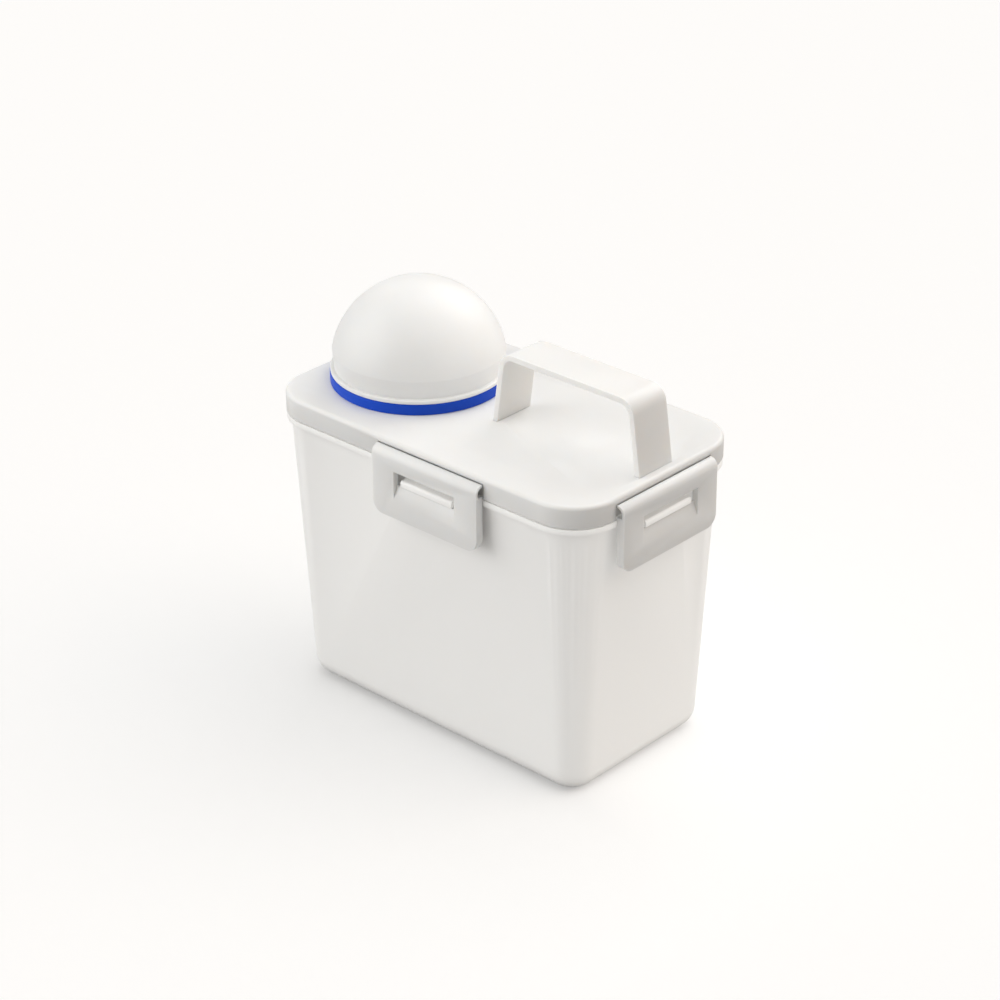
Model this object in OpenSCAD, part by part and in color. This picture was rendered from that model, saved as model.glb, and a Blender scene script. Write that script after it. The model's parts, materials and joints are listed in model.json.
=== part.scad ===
// Laundry powder container with four snap latches, a strap handle and a measuring cup over its spout.
// Millimetres, Z up. The origin is the middle of the tub's base, X runs along the long side
// and the front faces -Y.

/* [Outline] */
// Length of the lid over its skirt
lid_l = 260; // [235:1:320]
// Width of the lid over its skirt
lid_w = 152; // [146:1:200]
// Corner radius of the lid's skirt, seen from above
corner_r = 30.5; // [26:0.5:32]

/* [Tub] */
// Height of the rim above the table
tub_h = 200; // [150:0.5:280]
// Wall thickness of the tub
tub_wall = 2; // [1.6:0.1:2.4]
// Thickness of the floor
floor_t = 2.4; // [2:0.1:5]
// Draft of the walls, in degrees
tub_draft = 2.9; // [1.5:0.1:3]
// Set-back of the wall from the skirt, just under the flange
tub_inset = 3.2; // [2.9:0.1:4]
// Outer radius of the edge between wall and floor
base_r = 14; // [6:0.5:14]
// Depth of the hollow under the floor
base_recess = 1; // [0.5:0.1:1.2]
// Width of the flat ring that the tub stands on
foot_w = 3; // [2:0.5:3.5]
// Thickness of the neck above the flange
neck_t = 1.4; // [1.2:0.1:1.8]
// Set-back of the neck from the skirt
neck_inset = 3.8; // [3.7:0.1:4.2]
// Height of the neck above the flange
neck_h = 10; // [8:0.5:12]
// Height of the flange
flange_h = 4; // [3:0.5:6]
// Set-back of the flange from the skirt
flange_inset = 0.3; // [0.2:0.1:1]

/* [Lid] */
// Thickness of the lid's top
top_t = 2.2; // [1.8:0.1:3]
// Thickness of the skirt
skirt_t = 2; // [1.6:0.1:2.2]
// Radius of the lid's upper edge
edge_r = 2.5; // [1.5:0.1:3.5]
// Gap between the skirt and the tub's flange
skirt_gap = 1.2; // [0.8:0.1:2]
// Height of the gasket
gasket_h = 2.8; // [2:0.1:4]
// Width of the gasket
gasket_w = 2.2; // [1.8:0.1:2.4]
// Thickness of the rib inside the gasket
rib_t = 1; // [0.8:0.1:1.1]

/* [Latches] */
// Width of a latch
latch_w = 86; // [60:1:88]
// Height of a latch, from its lower edge to its top
latch_h = 44; // [41:0.5:50]
// Distance from the lid's top down to the latch's top
latch_drop = 4.5; // [4:0.1:6]
// Distance from the skirt to the latch's face
latch_out = 6; // [5.8:0.1:7]
// Shift of the front and back latches along the lid
latch_shift = 12; // [0:1:20]
// Radius of the curved top
curl_r = 5.6; // [5.4:0.1:5.8]
// Thickness of the latch's plate
plate_t = 1.6; // [1.4:0.1:1.7]
// Thickness of the walls behind the plate
web_t = 1.6; // [1.2:0.1:2]
// Radius of the lower corners
latch_r = 8; // [4:0.5:12]
// Width of the window
window_w = 50; // [36:1:60]
// Height of the window
window_h = 18.5; // [17.5:0.5:20]
// Distance from the latch's top down to the window
window_drop = 12.4; // [12:0.1:14]
// Height of the ramp at the foot of the window
ramp_h = 8.5; // [7:0.5:10]
// Radius of the hinge bar
pin_r = 1.2; // [1:0.05:1.3]
// Running clearance between hinge bar and clip
pin_fit = 0.07; // [0.03:0.01:0.1]
// Distance from the skirt to the middle of the hinge bar
pin_out = 1.7; // [1.6:0.1:1.8]
// Distance from the latch's top down to the middle of the hinge bar
pin_drop = 3.55; // [3.5:0.05:3.7]
// Radial thickness of the clips
clip_t = 1.3; // [1:0.05:1.4]
// Width of one clip
clip_w = 9; // [6:0.5:12]
// Width of one ear
ear_w = 3; // [2:0.5:5]
// Width of the catch bar on the tub
catch_w = 42; // [30:1:46]
// Height of the catch bar
catch_h = 4.2; // [3.5:0.1:4.5]
// Set-back of the catch bar from the latch's face
catch_inset = 1.8; // [1.5:0.1:2.5]
// Play between the catch bar and the ledge under it
catch_play = 0.5; // [0.45:0.05:0.8]

/* [Handle] */
// Distance from the blue ring to the handle's foot
cup_gap = 20.2; // [14:0.1:30]
// Height of the handle above the lid
handle_h = 47.5; // [35:0.5:60]
// Width of the strap
handle_w = 30; // [20:0.5:40]
// Thickness of the strap
handle_t = 3.6; // [2.8:0.1:5]
// Outer radius of the bends
handle_r = 11; // [7:0.5:16]
// Lean of the legs, in degrees
handle_lean = 8; // [2:0.5:14]
// Distance from the lid's end to the handle's foot
handle_inset = 6.4; // [6.2:0.1:20]
// Width of the tabs under the feet
tab_w = 22; // [12:0.5:26]
// Thickness of the tabs
tab_t = 2.4; // [2:0.1:3]
// Reach of the hook on a tab
hook_out = 1.2; // [0.8:0.1:1.6]
// Play round a tab in its slot
tab_fit = 0.15; // [0.1:0.05:0.3]

/* [Spout and cup] */
// Distance from the lid's left end to the middle of the cup
cup_inset = 60.5; // [60:0.5:66]
// Inner radius of the spout
spout_r = 47.4; // [42:0.1:48.2]
// Thickness of the spout's wall
spout_t = 1.8; // [1.4:0.1:2.4]
// Height of the spout above the lid
spout_h = 12.5; // [10:0.5:16]
// Depth of the spout under the lid
spout_depth = 6; // [3:0.5:10]
// Outer radius of the blue ring
seal_r = 56.2; // [55:0.1:57]
// Height of the blue ring
seal_h = 7; // [4:0.5:9]
// Height of the ring's lip inside the cup
lip_h = 4; // [2:0.5:6]
// Radius of the dome's ball
dome_r = 55.6; // [54.5:0.1:56.5]
// Height of the ball's middle above the lid
dome_z = 10.5; // [9:0.5:14]
// Height of the crease between band and dome, above the lid
crease_z = 21.5; // [17:0.5:24]
// Wall thickness of the cup
cup_wall = 1.8; // [1.4:0.1:2.4]
// Outer radius of the cup's rim
cup_rim_r = 55.9; // [55.6:0.1:57]
// Thickness of the cup's rim
cup_rim_t = 2.8; // [1.2:0.1:3.6]
// Narrowing of the band from the crease down to the rim
band_lean = 1.5; // [0.5:0.1:2]

/* [Hidden] */
$fn = 96;

white = [0.95, 0.95, 0.94];
milky = [0.86, 0.88, 0.88];
blue = [0.02, 0.16, 0.78];
grey = [0.55, 0.56, 0.56];

eps = 0.01;
fit = 0.1;

// Small sizes that stay as they are
catch_bevel = 1.6;
ear_half = 0.9;
bar_end = 6;
curl_side = 2.5;
ramp_foot = 1.2;
latch_back = 0.4;
frame_back = 1.6;
clip_turn = 165;
clip_mouth = 2.2;
swing_gap = 0.3;
pocket_wall = 1;
tab_root = 0.5;
tab_set = 0.2;
tab_drop = 2.6;
hook_play = 0.15;
hook_t = 0.45;
lip_play = 0.3;
rim_round = 0.7;

// Half sizes of the rectangle through the four corner axes
core_x = lid_l / 2 - corner_r;
core_y = lid_w / 2 - corner_r;

// Levels, from the table up
flange_top = tub_h - neck_h;
flange_z = flange_top - flange_h;
skirt_z = flange_top + skirt_gap;
lid_under = tub_h + gasket_h;
lid_z = lid_under + top_t;

// Radii from the corner axes
wall_r = corner_r - tub_inset;
taper = tan(tub_draft);
base_out = wall_r - flange_z * taper;
base_edge = min(base_r, base_out - foot_w - 0.5);
neck_r = corner_r - neck_inset;

// Latch levels and places, with u as the distance outwards from the skirt
latch_top = lid_z - latch_drop;
latch_z = latch_top - latch_h;
curl_u = latch_out - curl_r;
curl_z = latch_top - curl_r;
pin_z = latch_top - pin_drop;
window_top = latch_top - window_drop;
window_z = window_top - window_h;
ledge_z = window_z + ramp_h;
catch_z = ledge_z + catch_play;
clip_r = pin_r + pin_fit + clip_t;
sweep_r = norm([curl_u - pin_out, latch_top - pin_z]);
pocket_u = pin_out - sweep_r - swing_gap;
pocket_w = latch_w + 4 * swing_gap;
pocket_top = pin_z + sweep_r + swing_gap;

// Clips and ears along the hinge bar, as shares of its half length
bar_l = latch_w - 2 * bar_end;
clip_x = [-0.86, -0.29, 0.29, 0.86];
ear_x = [-0.57, 0, 0.57];

// Turn, distance of the skirt and shift of the latch for each side
SIDE_TURN = [0, 180, -90, 90];
SIDE_Y = [lid_w / 2, lid_w / 2, lid_l / 2, lid_l / 2];
SIDE_X = [latch_shift, -latch_shift, 0, 0];
BACK = 0;
FRONT = 1;
RIGHT = 2;
LEFT = 3;

// Handle and cup places
cup_x = cup_inset - lid_l / 2;
handle_right = lid_l / 2 - handle_inset;
handle_left = cup_x + seal_r + cup_gap;
handle_l = handle_right - handle_left;
lean_run = tan(handle_lean);
seal_in = spout_r + spout_t;
crease_r = sqrt(dome_r * dome_r - pow(crease_z - dome_z, 2));
band_r = crease_r - band_lean;
mouth_r = band_r - cup_wall;
lip_r = mouth_r - lip_play;

// Places its children on one side, with Y as the distance outwards from the skirt
module on_side(k) {
    rotate([0, 0, SIDE_TURN[k]])
        translate([SIDE_X[k], SIDE_Y[k], 0])
            children();
}

// Extrudes a section of distance and height along X, centred
module along(w) {
    rotate([90, 0, 90])
        linear_extrude(w, center = true)
            children();
}

// Rectangle from corner a to corner b, with its two outer corners rounded
module outer_round(a, b, r) {
    polygon([a, [b[0] - r, a[1]], [b[0], a[1] + r], [b[0], b[1] - r], [b[0] - r, b[1]], [a[0], b[1]]]);
    for (s = [-1, 1])
        translate([b[0] - r, s > 0 ? b[1] - r : a[1] + r])
            intersection() {
                circle(r);
                translate([0, s > 0 ? 0 : -r])
                    square(r);
            }
}

// Sweeps a section of radius and height round the four corners and along the four sides
module swept() {
    for (sx = [-1, 1], sy = [-1, 1])
        translate([sx * core_x, sy * core_y, 0])
            rotate([0, 0, sx > 0 ? (sy > 0 ? 0 : -90) : (sy > 0 ? 90 : 180)])
                rotate_extrude(angle = 90)
                    children();
    for (s = [0, 180])
        rotate([0, 0, s])
            translate([0, core_y, 0])
                along(2 * core_x)
                    children();
    for (s = [90, -90])
        rotate([0, 0, s])
            translate([0, core_x, 0])
                along(2 * core_y)
                    children();
}

// Plate that fills the middle of a swept section
module core(z, t) {
    translate([-core_x, -core_y, z])
        cube([2 * core_x, 2 * core_y, t]);
}

// Section of the tub: wall with draft, rounded lower edge, flange and neck
module tub_section() {
    edge = base_out - base_edge;
    difference() {
        union() {
            square([edge, floor_t]);
            intersection() {
                translate([edge, base_edge])
                    circle(base_edge);
                translate([edge, 0])
                    square([base_edge + eps, base_edge]);
            }
            polygon([[0, base_edge], [base_out, base_edge], [wall_r, flange_z], [0, flange_z]]);
            translate([0, flange_z])
                square([corner_r - flange_inset, flange_h]);
            translate([0, flange_z])
                square([neck_r, tub_h - flange_z]);
        }
        hollow_section(edge, base_edge - tub_wall);
        translate([-eps, -1])
            square([edge - foot_w, base_recess + 1]);
    }
}

// Space inside the tub's section
module hollow_section(edge, inner_r) {
    low = floor_t + inner_r;
    translate([edge, low])
        intersection() {
            circle(inner_r);
            translate([0, -inner_r])
                square(inner_r);
        }
    translate([-eps, floor_t])
        square([edge + 2 * eps, low - floor_t + eps]);
    polygon([[-eps, low], [edge + inner_r, low], [neck_r - neck_t, tub_h - neck_h - flange_h / 2],
             [neck_r - neck_t, tub_h + 1], [-eps, tub_h + 1]]);
}

// Bar under the rim that the latch's ledge catches
module catch_bar() {
    out = latch_out - catch_inset;
    root = tub_inset + tub_wall * 0.75;
    along(catch_w)
        difference() {
            translate([-root, catch_z])
                square([out + root, catch_h]);
            translate([out, catch_z + catch_h])
                rotate(45)
                    square(catch_bevel, center = true);
        }
}

module tub() {
    color(milky) {
        swept() tub_section();
        core(base_recess, floor_t - base_recess);
        for (k = [BACK, FRONT, RIGHT, LEFT])
            on_side(k) catch_bar();
    }
}

// Section of the lid: skirt, rounded upper edge, top and the rib inside the gasket
module lid_section() {
    edge = corner_r - edge_r;
    rib_out = neck_r - gasket_w - fit;
    translate([edge, lid_z - edge_r])
        intersection() {
            circle(edge_r);
            square(edge_r);
        }
    translate([corner_r - skirt_t, skirt_z])
        square([skirt_t, lid_z - edge_r - skirt_z]);
    translate([0, lid_under])
        square([edge, top_t]);
    translate([rib_out - rib_t, tub_h])
        square([rib_t, gasket_h + eps]);
}

// Thicker wall behind a latch's pocket
module pocket_backing() {
    along(pocket_w + 2 * pocket_wall)
        translate([pocket_u - pocket_wall, skirt_z])
            square([pocket_wall + 1, lid_under - skirt_z + eps]);
}

// Pocket that the latch's curved top turns into
module pocket_cut() {
    along(pocket_w)
        translate([pocket_u, skirt_z - 1])
            square([10, pocket_top - skirt_z + 1]);
}

// Hinge bar on its ears
module hinge_bar() {
    translate([0, pin_out, pin_z])
        rotate([0, 90, 0])
            cylinder(h = bar_l, r = pin_r, center = true);
    for (x = ear_x)
        translate([x * bar_l / 2, 0, 0])
            along(ear_w)
                ear_section();
}

// An ear holds the bar from below, clear of the curled plate as it turns
module ear_section() {
    low = skirt_z + fit;
    elbow = pin_z - 2 * pin_r;
    translate([pin_out, pin_z])
        circle(pin_r);
    polygon([[pin_out - ear_half, pin_z - pin_r / 2], [pin_out - ear_half, elbow],
             [pocket_u - eps, elbow - pin_r], [pocket_u - eps, low], [pin_out, low],
             [pin_out + ear_half, elbow], [pin_out + ear_half, pin_z - pin_r / 2]]);
}

// Slots for the tabs of the handle
module handle_slots() {
    for (x = [tab_x(handle_right, 1), tab_x(handle_left, -1)])
        translate([x, 0, lid_z - top_t / 2])
            cube([tab_t + 2 * tab_fit, tab_w + 2 * tab_fit, top_t + 2], center = true);
}

module lid() {
    color(white) {
        difference() {
            union() {
                swept() lid_section();
                core(lid_under, top_t);
                for (k = [BACK, FRONT, RIGHT, LEFT])
                    on_side(k) pocket_backing();
                translate([cup_x, 0, lid_under - spout_depth])
                    cylinder(h = spout_depth + top_t + spout_h, r = spout_r + spout_t);
            }
            for (k = [BACK, FRONT, RIGHT, LEFT])
                on_side(k) pocket_cut();
            handle_slots();
            translate([cup_x, 0, lid_under - spout_depth - 1])
                cylinder(h = spout_depth + top_t + spout_h + 2, r = spout_r);
        }
        for (k = [BACK, FRONT, RIGHT, LEFT])
            on_side(k) hinge_bar();
    }
}

// Soft ring between the lid and the tub's rim
module lid_gasket() {
    color(grey)
        swept()
            translate([neck_r - gasket_w, tub_h])
                square([gasket_w, gasket_h]);
}

// Side view of the latch: plate with a curved top
module curl_section(inset) {
    r = curl_r - inset;
    u = latch_out - inset;
    translate([curl_u, curl_z])
        intersection() {
            circle(r);
            square(curl_r);
        }
    translate([0, latch_z])
        square([u, curl_z - latch_z]);
    translate([0, curl_z])
        square([curl_u, r]);
}

// Front view of the latch
module latch_outline() {
    w = latch_w / 2;
    translate([-w, latch_z + latch_r])
        square([latch_w, latch_h - latch_r + 1]);
    translate([latch_r - w, latch_z])
        square([latch_w - 2 * latch_r, latch_r + eps]);
    for (s = [-1, 1])
        translate([s * (w - latch_r), latch_z + latch_r])
            circle(latch_r);
}

// The same outline drawn in by the thickness of the walls
module latch_hollow_outline() {
    w = latch_w / 2 - web_t;
    r = latch_r - web_t;
    translate([-w, latch_z + latch_r])
        square([2 * w, latch_h]);
    translate([r - w, latch_z + web_t])
        square([2 * (w - r), latch_r]);
    for (s = [-1, 1])
        translate([s * (w - r), latch_z + latch_r])
            circle(r);
}

// Extrudes a front view of width and height outwards, from a to b
module outwards(a, b) {
    translate([0, b, 0])
        rotate([90, 0, 0])
            linear_extrude(b - a)
                children();
}

// Curled plate with a wall round its back, open at both ends of the curl
module latch_shell() {
    side_top = curl_z - curl_side;
    difference() {
        intersection() {
            along(latch_w) curl_section(0);
            outwards(latch_back, latch_out + 1) latch_outline();
        }
        intersection() {
            along(latch_w) curl_section(plate_t);
            outwards(-1, latch_out) latch_hollow_outline();
        }
        intersection() {
            along(latch_w + 1) curl_section(plate_t);
            translate([-latch_w, -1, side_top])
                cube([2 * latch_w, latch_out + 2, latch_h]);
        }
    }
}

// Frame round the window with the ramp at its foot
module window_frame() {
    outer = window_w + 2 * web_t;
    outwards(frame_back, latch_out - eps)
        translate([-outer / 2, window_z + ramp_h - web_t])
            square([outer, window_h - ramp_h + 2 * web_t]);
    along(outer)
        polygon([[frame_back, ledge_z], [latch_out - eps, ledge_z], [latch_out - eps, window_z - web_t],
                 [latch_out - plate_t, window_z - web_t]]);
}

// Space of the window: a slot right through above the ramp
module window_cut() {
    along(window_w) {
        translate([-1, ledge_z])
            square([latch_out + 2, window_top - ledge_z]);
        polygon([[frame_back + ramp_foot, ledge_z + eps], [latch_out + 1, ledge_z + eps],
                 [latch_out + 1, window_z], [latch_out, window_z]]);
    }
}

// Open clip that snaps over the hinge bar
module clip_section() {
    difference() {
        union() {
            translate([pin_out, pin_z])
                circle(clip_r);
            intersection() {
                curl_section(plate_t / 2);
                translate([pin_out, pin_z - clip_r / 2])
                    square(curl_r);
            }
        }
        translate([pin_out, pin_z])
            circle(pin_r + pin_fit);
        translate([pin_out, pin_z])
            rotate(clip_turn)
                polygon([[0, 0], [2 * clip_r, clip_mouth * clip_r], [2 * clip_r, -clip_mouth * clip_r]]);
    }
}

module latch(k) {
    color(white)
        on_side(k) {
            difference() {
                union() {
                    latch_shell();
                    window_frame();
                }
                window_cut();
            }
            for (x = clip_x)
                translate([x * bar_l / 2, 0, 0])
                    along(clip_w) clip_section();
        }
}

module front_latch() {
    latch(FRONT);
}

module back_latch() {
    latch(BACK);
}

module left_latch() {
    latch(LEFT);
}

module right_latch() {
    latch(RIGHT);
}

// Middle of a tab, just outside the inner face of its leg
function tab_x(foot, s) = foot - s * (handle_t / cos(handle_lean) - tab_t / 2 - tab_set);

// Outline of the strap, drawn in by t, about the middle of the handle
module strap_outline(t) {
    a = handle_lean;
    r = handle_r - t;
    top = lid_z + handle_h;
    low = t > 0 ? 1 : 0;
    foot = handle_l / 2 - t / cos(a);
    bend_x = handle_l / 2 - (handle_h - handle_r) * lean_run - handle_r / cos(a);
    bend_z = top - handle_r;
    leg = [bend_x + r * cos(a), bend_z + r * sin(a)];
    polygon([[-foot - low * lean_run, lid_z - low], [foot + low * lean_run, lid_z - low], leg,
             [bend_x, bend_z + r], [-bend_x, bend_z + r], [-leg[0], leg[1]]]);
    for (s = [0, 1])
        mirror([s, 0])
            translate([bend_x, bend_z])
                intersection() {
                    circle(r);
                    polygon([[0, 0], [0, 2 * r], [2 * r, 2 * r], [2 * r, 2 * r * lean_run]]);
                }
}

// Tab with a hook that snaps under the lid
module tab(x, s) {
    low = lid_under - tab_drop;
    hook_z = lid_under - hook_play;
    step = -s * (tab_t / 2 - eps);
    translate([x, 0, 0])
        rotate([90, 0, 0])
            linear_extrude(tab_w, center = true)
                union() {
                    translate([-tab_t / 2, low])
                        square([tab_t, lid_z - low + tab_root]);
                    polygon([[step, hook_z], [-s * (tab_t / 2 + hook_out), hook_z - hook_t], [step, low]]);
                }
}

module handle() {
    mid = (handle_right + handle_left) / 2;
    color(white) {
        translate([mid, 0, 0])
            rotate([90, 0, 0])
                linear_extrude(handle_w, center = true)
                    difference() {
                        strap_outline(0);
                        strap_outline(handle_t);
                    }
        tab(tab_x(handle_right, 1), 1);
        tab(tab_x(handle_left, -1), -1);
    }
}

// Ring round the spout, with a lip that closes the cup's mouth
module cup_seal() {
    color(blue)
        translate([cup_x, 0, 0])
            rotate_extrude() {
                outer_round([seal_in, lid_z], [seal_r, lid_z + seal_h], rim_round);
                translate([seal_in, lid_z])
                    square([lip_r - seal_in, seal_h + lip_h]);
            }
}

// Half of the cup's outline, drawn in by a wall: a ball cut by a band that widens up to the crease
module cup_half(wall, low) {
    mouth = lid_z + seal_h;
    top = lid_z + dome_z + dome_r;
    lean = band_lean / (crease_z - seal_h);
    side = band_r - wall;
    intersection() {
        translate([0, lid_z + dome_z])
            circle(dome_r - wall);
        polygon([[-low, mouth - low], [side - low * lean, mouth - low],
                 [side + (top - mouth) * lean, top], [-low, top]]);
    }
}

// Dome on a narrower band with a rim, mouth down over the lip
module measuring_cup() {
    mouth = lid_z + seal_h;
    color(white)
        translate([cup_x, 0, 0])
            rotate_extrude()
                difference() {
                    union() {
                        cup_half(0, 0);
                        outer_round([mouth_r - 1, mouth], [cup_rim_r, mouth + cup_rim_t], rim_round);
                    }
                    cup_half(cup_wall, 1);
                }
}

tub();
lid();
lid_gasket();
front_latch();
back_latch();
left_latch();
right_latch();
handle();
cup_seal();
measuring_cup();
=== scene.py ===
# %% [markdown]
# # A laundry powder container, dressed for its picture
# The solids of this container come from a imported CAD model, so every size and place is already
# settled. What is missing is what the eye checks first: edges that catch the light, plastic that
# lets a little light in, and a studio round it. This lesson adds those, one step at a time. Small
# lengths are written in millimetres times MM, which makes metres, and the middle of the tub's base
# is the origin.

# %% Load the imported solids
import json
import math

import bpy
from mathutils import Matrix, Vector


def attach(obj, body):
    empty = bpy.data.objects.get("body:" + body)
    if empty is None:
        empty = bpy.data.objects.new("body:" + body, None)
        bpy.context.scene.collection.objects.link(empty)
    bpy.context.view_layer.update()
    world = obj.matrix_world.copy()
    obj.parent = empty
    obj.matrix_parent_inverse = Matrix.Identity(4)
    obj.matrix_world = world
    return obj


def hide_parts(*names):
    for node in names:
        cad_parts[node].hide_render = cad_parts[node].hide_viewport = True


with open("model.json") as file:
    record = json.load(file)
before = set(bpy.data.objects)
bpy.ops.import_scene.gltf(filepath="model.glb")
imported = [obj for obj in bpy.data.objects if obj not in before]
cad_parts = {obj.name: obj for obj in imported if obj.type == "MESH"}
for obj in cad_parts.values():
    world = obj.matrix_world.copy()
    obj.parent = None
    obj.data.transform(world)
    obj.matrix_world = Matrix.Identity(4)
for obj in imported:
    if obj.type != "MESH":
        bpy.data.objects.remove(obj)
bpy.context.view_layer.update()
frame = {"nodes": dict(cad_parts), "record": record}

MM = 0.001
print("nodes:", sorted(frame["nodes"]))

# %% [markdown]
# ## The camera
# A camera that stands where the photographer stood makes every later comparison easy. The angle,
# the distance and the lens were fitted to the corners of the lid and the foot of the tub. A long
# lens from almost two metres keeps the upright edges nearly parallel, as a product photograph
# does. The frame is taken as 1000 by 1000 pixels, so the lens is worked out from that.

# %% Place the camera
FRAME_PX = 1000
SENSOR_MM = 36
FOCAL_PX = 2865.8
turn, lift, roll = math.radians(42.70), math.radians(27.58), math.radians(-0.33)
distance = 1795.5 * MM
target = Vector((0, 0, 128.5 * MM))
target_px = (501.68, 518.88)
FAR_LIMIT = 100

towards = Vector((math.sin(turn) * math.cos(lift), -math.cos(turn) * math.cos(lift), math.sin(lift)))
level_right = Vector((math.cos(turn), math.sin(turn), 0))
level_up = towards.cross(level_right)
right = math.cos(roll) * level_right + math.sin(roll) * level_up
up = math.cos(roll) * level_up - math.sin(roll) * level_right
metres_per_px = distance / FOCAL_PX
place = (target + towards * distance
         - right * (target_px[0] - FRAME_PX / 2) * metres_per_px
         + up * (target_px[1] - FRAME_PX / 2) * metres_per_px)

camera_data = bpy.data.cameras.new("product_camera")
camera_data.sensor_width = SENSOR_MM
camera_data.lens = FOCAL_PX * SENSOR_MM / FRAME_PX
camera_data.clip_end = FAR_LIMIT
camera = bpy.data.objects.new("product_camera", camera_data)
camera.matrix_world = Matrix((
    (right.x, up.x, towards.x, place.x),
    (right.y, up.y, towards.y, place.y),
    (right.z, up.z, towards.z, place.z),
    (0, 0, 0, 1)))
bpy.context.scene.collection.objects.link(camera)
bpy.context.scene.camera = camera
bpy.context.scene.view_settings.view_transform = "Standard"
print(f"lens {camera_data.lens:.1f} mm, distance {distance:.3f} m")

# %% [markdown]
# ## Plastics
# Every part of this container is injection moulded, so one recipe serves them all. A moulded
# surface is never quite one colour: the melt flows and cools unevenly, which leaves soft clouds
# a few centimetres across. Its gloss wanders in the same way, and the mould's fine grain breaks
# up the highlights. Three noise textures on object coordinates give these three effects, and
# because they read the object's own coordinates, the pattern stays put when a latch swings.

# %% Define the recipe for moulded plastic
def add_noise(nodes, links, coordinates, scale, detail, stretch=(1, 1, 1)):
    """A noise texture on object coordinates, drawn out along the axes by stretch."""
    mapping = nodes.new("ShaderNodeMapping")
    mapping.inputs["Scale"].default_value = stretch
    noise = nodes.new("ShaderNodeTexNoise")
    noise.inputs["Scale"].default_value = scale
    noise.inputs["Detail"].default_value = detail
    links.new(coordinates.outputs["Object"], mapping.inputs["Vector"])
    links.new(mapping.outputs["Vector"], noise.inputs["Vector"])
    return noise


NOISE_LOW, NOISE_HIGH = 0.3, 0.7
SMEAR_SCALE, GRAIN_SCALE, GRAIN_DEPTH = 60, 1800, 0.05 * MM


def moulded_plastic(name, light, dark, gloss, grain, cloud_scale=14, stretch=(1, 1, 1)):
    """Plastic whose colour runs from dark to light and whose roughness runs over gloss."""
    material = bpy.data.materials.new(name)
    material.use_nodes = True
    nodes, links = material.node_tree.nodes, material.node_tree.links
    shader = nodes["Principled BSDF"]
    coordinates = nodes.new("ShaderNodeTexCoord")

    clouds = add_noise(nodes, links, coordinates, cloud_scale, 3, stretch)
    colours = nodes.new("ShaderNodeValToRGB")
    colours.color_ramp.elements[0].position = NOISE_LOW
    colours.color_ramp.elements[0].color = (*dark, 1)
    colours.color_ramp.elements[1].position = NOISE_HIGH
    colours.color_ramp.elements[1].color = (*light, 1)
    links.new(clouds.outputs["Fac"], colours.inputs["Fac"])
    links.new(colours.outputs["Color"], shader.inputs["Base Color"])

    smears = add_noise(nodes, links, coordinates, SMEAR_SCALE, 4, stretch)
    polish = nodes.new("ShaderNodeMapRange")
    polish.inputs["From Min"].default_value = NOISE_LOW
    polish.inputs["From Max"].default_value = NOISE_HIGH
    polish.inputs["To Min"].default_value = gloss[0]
    polish.inputs["To Max"].default_value = gloss[1]
    links.new(smears.outputs["Fac"], polish.inputs["Value"])
    links.new(polish.outputs["Result"], shader.inputs["Roughness"])

    texture = add_noise(nodes, links, coordinates, GRAIN_SCALE, 2)
    bump = nodes.new("ShaderNodeBump")
    bump.inputs["Strength"].default_value = grain
    bump.inputs["Distance"].default_value = GRAIN_DEPTH
    links.new(texture.outputs["Fac"], bump.inputs["Height"])
    links.new(bump.outputs["Normal"], shader.inputs["Normal"])
    return material


def let_light_in(material, weight, radius, depth):
    """Lets part of the light sink in by about depth and come out again nearby."""
    shader = material.node_tree.nodes["Principled BSDF"]
    shader.inputs["Subsurface Weight"].default_value = weight
    shader.inputs["Subsurface Radius"].default_value = radius
    shader.inputs["Subsurface Scale"].default_value = depth


print("recipe: clouds, smears and grain on object coordinates")

# %% [markdown]
# ## The four finishes
# The lid, the latches, the handle and the cup are one white plastic with a satin face. The tub is
# the same plastic without the white pigment, cloudier, with clouds drawn out upwards as the melt
# rose in the mould. Both let light sink in and come out again nearby, at a depth of a few
# millimetres, which is what subsurface scattering does. The light that passes right through the
# real tub's wall isn't traced here: the tub's colour is written lighter than such plastic is, to
# make up for part of it. The ring under the cup is saturated blue silicone with a dull face, and
# the seal inside the lid is grey rubber.

# %% Mix the finishes
DULL_SHINE = 0.25
white = moulded_plastic("satin_white_plastic", (0.82, 0.817, 0.807), (0.79, 0.786, 0.775),
                        gloss=(0.36, 0.46), grain=0.12)
milky = moulded_plastic("milky_tub_plastic", (0.985, 0.98, 0.966), (0.965, 0.96, 0.945),
                        gloss=(0.38, 0.5), grain=0.10, cloud_scale=9, stretch=(1, 1, 0.35))
blue = moulded_plastic("blue_silicone", (0.001, 0.066, 0.58), (0.001, 0.055, 0.50),
                       gloss=(0.42, 0.52), grain=0.10)
grey = moulded_plastic("grey_seal_rubber", (0.27, 0.28, 0.28), (0.22, 0.23, 0.23),
                       gloss=(0.5, 0.62), grain=0.2)
let_light_in(white, 0.6, (1.0, 0.9, 0.8), 3 * MM)
let_light_in(milky, 0.2, (1.0, 0.95, 0.9), 1.5 * MM)
blue.node_tree.nodes["Principled BSDF"].inputs["Specular IOR Level"].default_value = DULL_SHINE
print("finishes:", [m.name for m in (white, milky, blue, grey)])

# %% [markdown]
# ## Softened edges
# A moulded part has no knife edges: the mould's corners are rounded by a few tenths of a
# millimetre, and that thin line of light along an edge is what makes plastic look solid. The CAD
# meshes are loose triangles, so a copy of each is merged first and its flat faces are joined.
# Then the edges where two faces meet at a real angle are selected and bevelled. Copying keeps
# every size of the solid, which a model drawn again by hand would not. The handle is cut from a
# thick strap whose edges feel round to the hand, so it gets the widest bevel.

# %% Make softened copies of the solids
MERGE = 0.002 * MM
FLAT_DEG = 0.6


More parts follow.
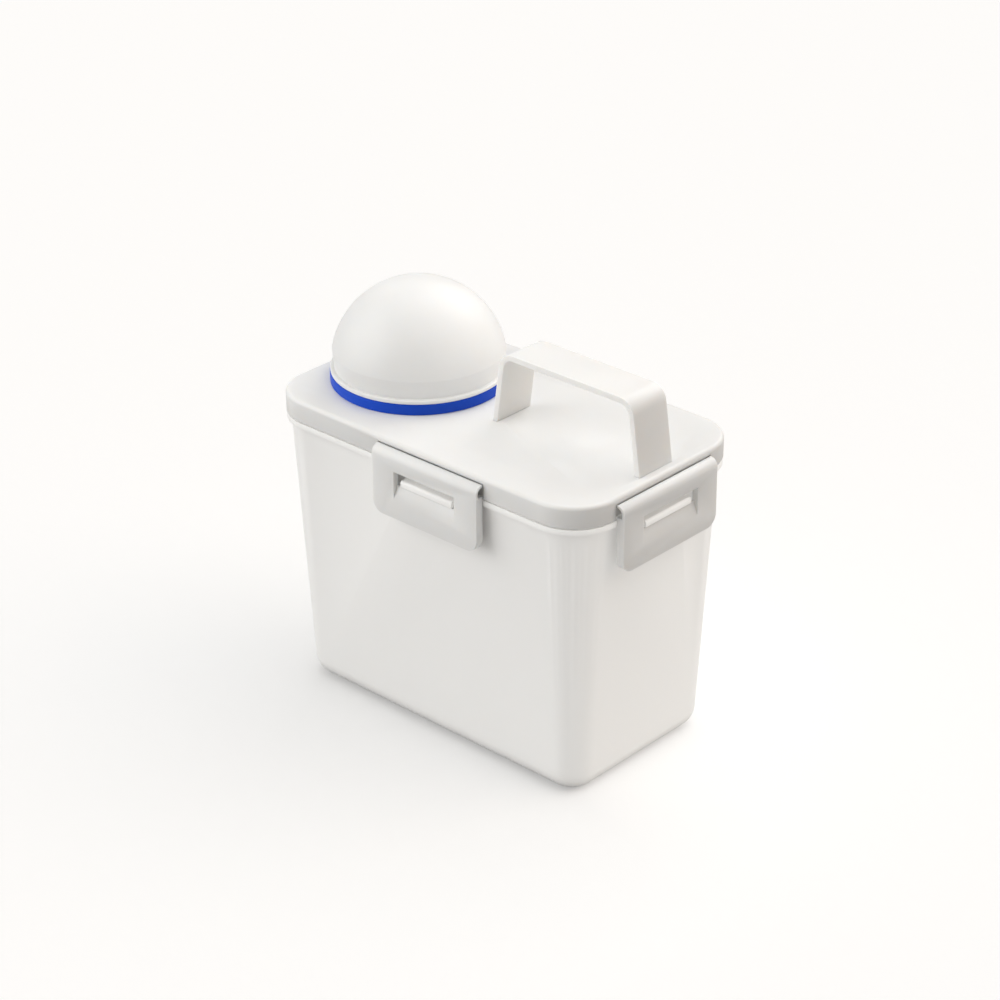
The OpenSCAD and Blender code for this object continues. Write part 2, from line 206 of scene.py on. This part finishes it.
def only(obj):
    """Selects this object and nothing else."""
    bpy.ops.object.select_all(action="DESELECT")
    obj.select_set(True)
    bpy.context.view_layer.objects.active = obj


def body_of(node):
    """The name of the moving body that this node belongs to."""
    return next(body for body, nodes in frame["record"]["behaviour"]["bodies"].items() if node in nodes)


def softened(node, name, width, segments=2, corner=32):
    """A merged copy of a node whose edges sharper than corner degrees are rounded by width."""
    source = frame["nodes"][node]
    piece = bpy.data.objects.new(name, source.data.copy())
    bpy.context.scene.collection.objects.link(piece)
    piece.data.materials.clear()
    only(piece)
    bpy.ops.object.mode_set(mode="EDIT")
    bpy.ops.mesh.select_mode(type="EDGE")
    bpy.ops.mesh.select_all(action="SELECT")
    bpy.ops.mesh.remove_doubles(threshold=MERGE)
    bpy.ops.mesh.dissolve_limited(angle_limit=math.radians(FLAT_DEG))
    bpy.ops.mesh.select_all(action="DESELECT")
    bpy.ops.mesh.edges_select_sharp(sharpness=math.radians(corner))
    bpy.ops.mesh.bevel(offset=width, segments=segments, profile=0.5, clamp_overlap=True)
    bpy.ops.object.mode_set(mode="OBJECT")
    bpy.ops.object.shade_smooth_by_angle(angle=math.radians(corner))
    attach(piece, body_of(node))
    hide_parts(node)
    print(f"{name}: {len(piece.data.polygons)} faces")
    return piece


def finish_with(piece, material):
    """Gives a piece its one material."""
    piece.data.materials.clear()
    piece.data.materials.append(material)


tub = softened("tub", "tub_moulding", 0.35 * MM)
lid = softened("lid", "lid_moulding", 0.3 * MM)
gasket = softened("lid_gasket", "gasket_ring", 0.3 * MM)
handle = softened("handle", "handle_strap", 0.8 * MM, segments=3)
latches = [softened(f"{side}_latch", f"{side}_snap_latch", 0.45 * MM)
           for side in ("front", "back", "left", "right")]

finish_with(tub, milky)
finish_with(gasket, grey)
for piece in [lid, handle, *latches]:
    finish_with(piece, white)

# %% [markdown]
# ## The cup and its ring
# The measuring cup stands upside down as a dome over the spout, and the blue ring seals it. Both
# are turned shapes, whose facets meet at small angles all round, so the angle that counts as an
# edge has to be chosen for each. On the cup even the shallow crease between dome and band is a
# real edge, and a small angle finds it. On the ring only the top and bottom rims are edges, and
# a larger angle leaves its rounded wall alone.

# %% Soften the cup and the ring
cup = softened("measuring_cup", "measuring_cup_dome", 0.3 * MM, corner=14)
ring = softened("cup_seal", "blue_ring", 0.3 * MM, corner=40)
finish_with(cup, white)
finish_with(ring, blue)
product = [tub, lid, gasket, handle, *latches, cup, ring]
print("faces in all:", sum(len(piece.data.polygons) for piece in product))

# %% [markdown]
# ## The floor
# The container stands on a flat white sheet. From the photographer's place it fills the picture,
# but from a low angle its far edge shows, with the grey room above it. A real white floor throws a
# lot of light back up and flattens the sides, so studios lay a smaller white sheet on a darker
# table. The same is done here: Light Path tells whether the camera or the light itself looks at
# the floor. The camera sees white paper, lifted almost to full white, with its shadow kept. Light
# that bounces meets a darker sheet.

# %% Lay the floor
SHEET = 14
BOUNCE, PAPER, LIFT, LIFT_STRENGTH = (0.62, 0.62, 0.62, 1), (1, 1, 1, 1), 0.07, 3.4
bpy.ops.object.select_all(action="DESELECT")
bpy.ops.mesh.primitive_plane_add(size=SHEET, location=(0, 0, 0))
floor = bpy.context.object
floor.name = "studio_floor"
floor_material = bpy.data.materials.new("white_floor")
floor_material.use_nodes = True
floor_nodes, floor_links = floor_material.node_tree.nodes, floor_material.node_tree.links
floor_nodes.clear()
ray = floor_nodes.new("ShaderNodeLightPath")
tone = floor_nodes.new("ShaderNodeMix")
tone.data_type = "RGBA"
tone.inputs["A"].default_value = BOUNCE
tone.inputs["B"].default_value = PAPER
paper = floor_nodes.new("ShaderNodeBsdfDiffuse")
glow = floor_nodes.new("ShaderNodeEmission")
glow.inputs["Strength"].default_value = LIFT_STRENGTH
share = floor_nodes.new("ShaderNodeMath")
share.operation = "MULTIPLY"
share.inputs[1].default_value = LIFT
surface = floor_nodes.new("ShaderNodeMixShader")
floor_out = floor_nodes.new("ShaderNodeOutputMaterial")
floor_links.new(ray.outputs["Is Camera Ray"], tone.inputs["Factor"])
floor_links.new(tone.outputs["Result"], paper.inputs["Color"])
floor_links.new(ray.outputs["Is Camera Ray"], share.inputs[0])
floor_links.new(share.outputs[0], surface.inputs["Fac"])
floor_links.new(paper.outputs[0], surface.inputs[1])
floor_links.new(glow.outputs[0], surface.inputs[2])
floor_links.new(surface.outputs[0], floor_out.inputs["Surface"])
floor.data.materials.append(floor_material)
print("floor:", tuple(round(size, 2) for size in floor.dimensions))

# %% [markdown]
# ## The main lamps
# A white object on a white floor is drawn by shade alone. The key comes from above and behind, so
# the shadow falls towards the camera's left, and a warm, weak rim light touches the short side.
# Both are large and soft, and the room fills the rest. The handle keeps out of the key's way: a
# photographer moves the lamp until the strap throws no shadow on the lid, and light linking does
# the same by naming what the lamp is blocked by.

# %% Hang the main lamps
ROOM_COLOUR, ROOM_STRENGTH = (1, 0.98, 0.95, 1), 0.39
world = bpy.data.worlds.new("studio_world")
bpy.context.scene.world = world
world.use_nodes = True
background = world.node_tree.nodes["Background"]
background.inputs["Color"].default_value = ROOM_COLOUR
background.inputs["Strength"].default_value = ROOM_STRENGTH


def add_sun(name, strength, azimuth, elevation, softness, colour=(1, 1, 1)):
    """A sun that shines from the given azimuth (0 is +X, 90 is +Y) and height."""
    data = bpy.data.lights.new(name, "SUN")
    data.energy = strength
    data.angle = math.radians(softness)
    data.color = colour
    sun = bpy.data.objects.new(name, data)
    a, e = math.radians(azimuth), math.radians(elevation)
    source = Vector((math.cos(a) * math.cos(e), math.sin(a) * math.cos(e), math.sin(e)))
    sun.rotation_euler = source.to_track_quat("Z", "Y").to_euler()
    bpy.context.scene.collection.objects.link(sun)
    return sun


def group_of(name, pieces):
    """A collection outside the scene that tells a lamp which pieces it lights or is blocked by."""
    group = bpy.data.collections.new(name)
    for piece in pieces:
        group.objects.link(piece)
    return group


key = add_sun("key_sun", 1.3, 60, 66, 80)
key_blockers = [piece for piece in product if piece is not handle]
key.light_linking.blocker_collection = group_of("key_blockers", key_blockers)
add_sun("right_rim", 0.3, 38, 25, 60, (1, 0.72, 0.45))
print(f"room {ROOM_STRENGTH}, key {key.data.energy:.2f}, blocked by {len(key_blockers)} pieces")

# %% [markdown]
# ## Lamps with a flag
# The long side needs a low fill from the left, and the lid a light from behind that reaches in
# under the strap. On the floor both would wash the key's shadow out, so each has a flag that
# keeps it off the paper. The real tub and cup are thin and let light through from behind, which
# makes their shaded sides brighter than those of the thick white parts. A last lamp stands in for
# that light, and it shines on the thin walls alone. It is matched to the photographer's side: from
# other sides, and without this lamp, the tub and the other parts differ more than real ones do.

# %% Hang the flagged lamps
fill = add_sun("left_fill", 1.95, -130, 20, 65, (1, 0.995, 0.98))
back = add_sun("back_light", 1.0, 92, 36, 45)
off_the_floor = group_of("off_the_floor", product)
fill.light_linking.receiver_collection = off_the_floor
back.light_linking.receiver_collection = off_the_floor

wall_glow = add_sun("wall_glow", 0.75, 5, 10, 60, (1, 0.99, 0.97))
thin_walls = group_of("thin_walls", [tub, cup])
wall_glow.light_linking.receiver_collection = thin_walls
wall_glow.light_linking.blocker_collection = thin_walls
